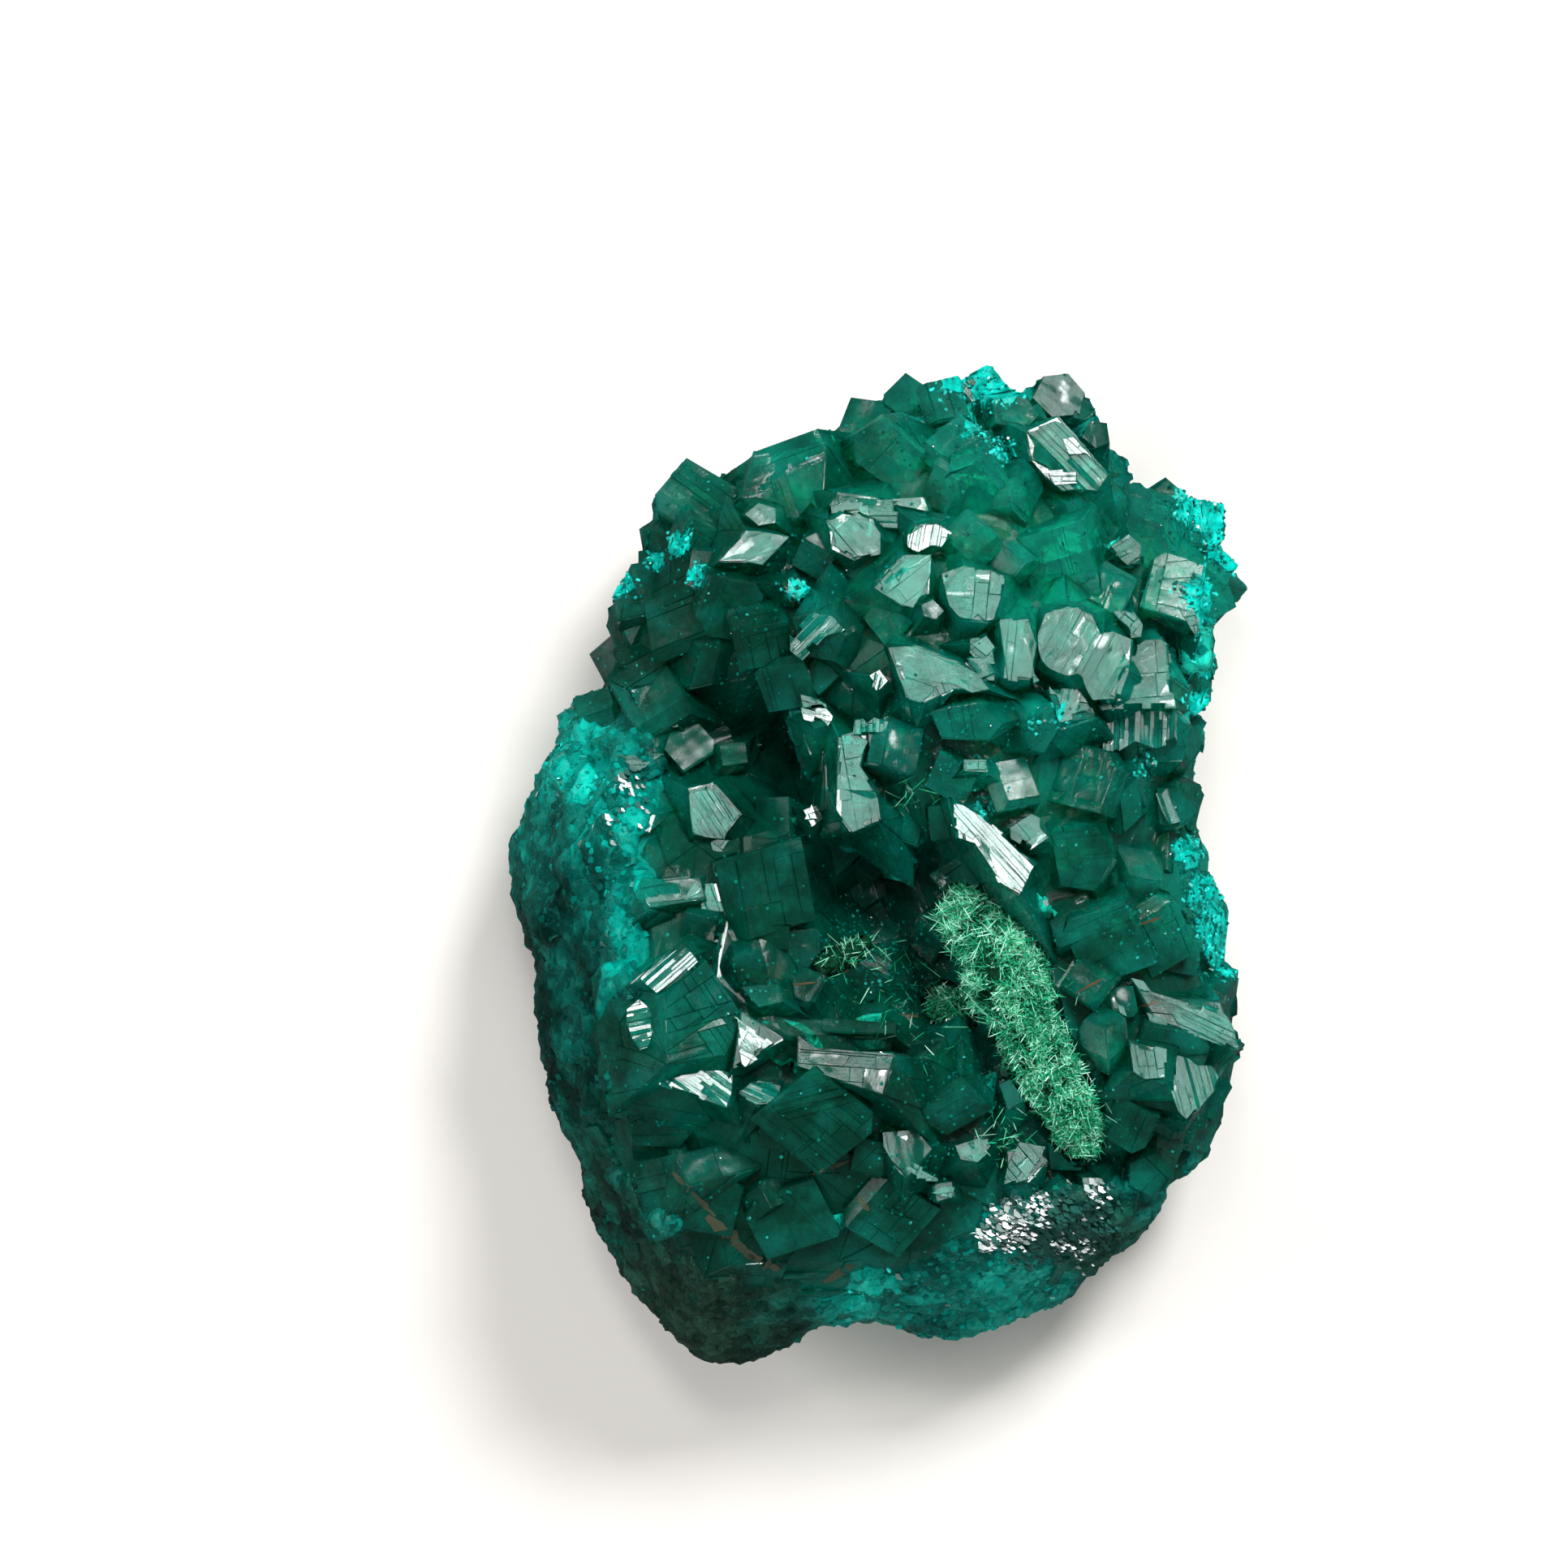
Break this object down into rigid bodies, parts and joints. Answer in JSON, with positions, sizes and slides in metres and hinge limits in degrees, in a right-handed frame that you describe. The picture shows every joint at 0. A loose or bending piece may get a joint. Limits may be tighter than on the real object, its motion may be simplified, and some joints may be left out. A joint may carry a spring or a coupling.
{
  "type": "dioptase specimen",
  "caption": "Hand specimen of emerald green dioptase: short glassy crystals grown together on a massive base, with bright green fibrous malachite in the clefts.",
  "frame": {"origin": "on the surface that the specimen rests on, under the middle of its box", "axes": "+X to the right and +Y up as seen from above with the crystals facing the viewer, +Z up from the flat broken back towards the crystals"},
  "size_m": [0.0268, 0.036, 0.0171],
  "materials": {
    "dioptase": "gloss",
    "malachite": "matte"
  },
  "bodies": {
    "root": {"dioptase_cluster": "dioptase", "malachite_band": "malachite", "malachite_patch": "malachite", "malachite_tuft": "malachite"}
  },
  "joints": []
}
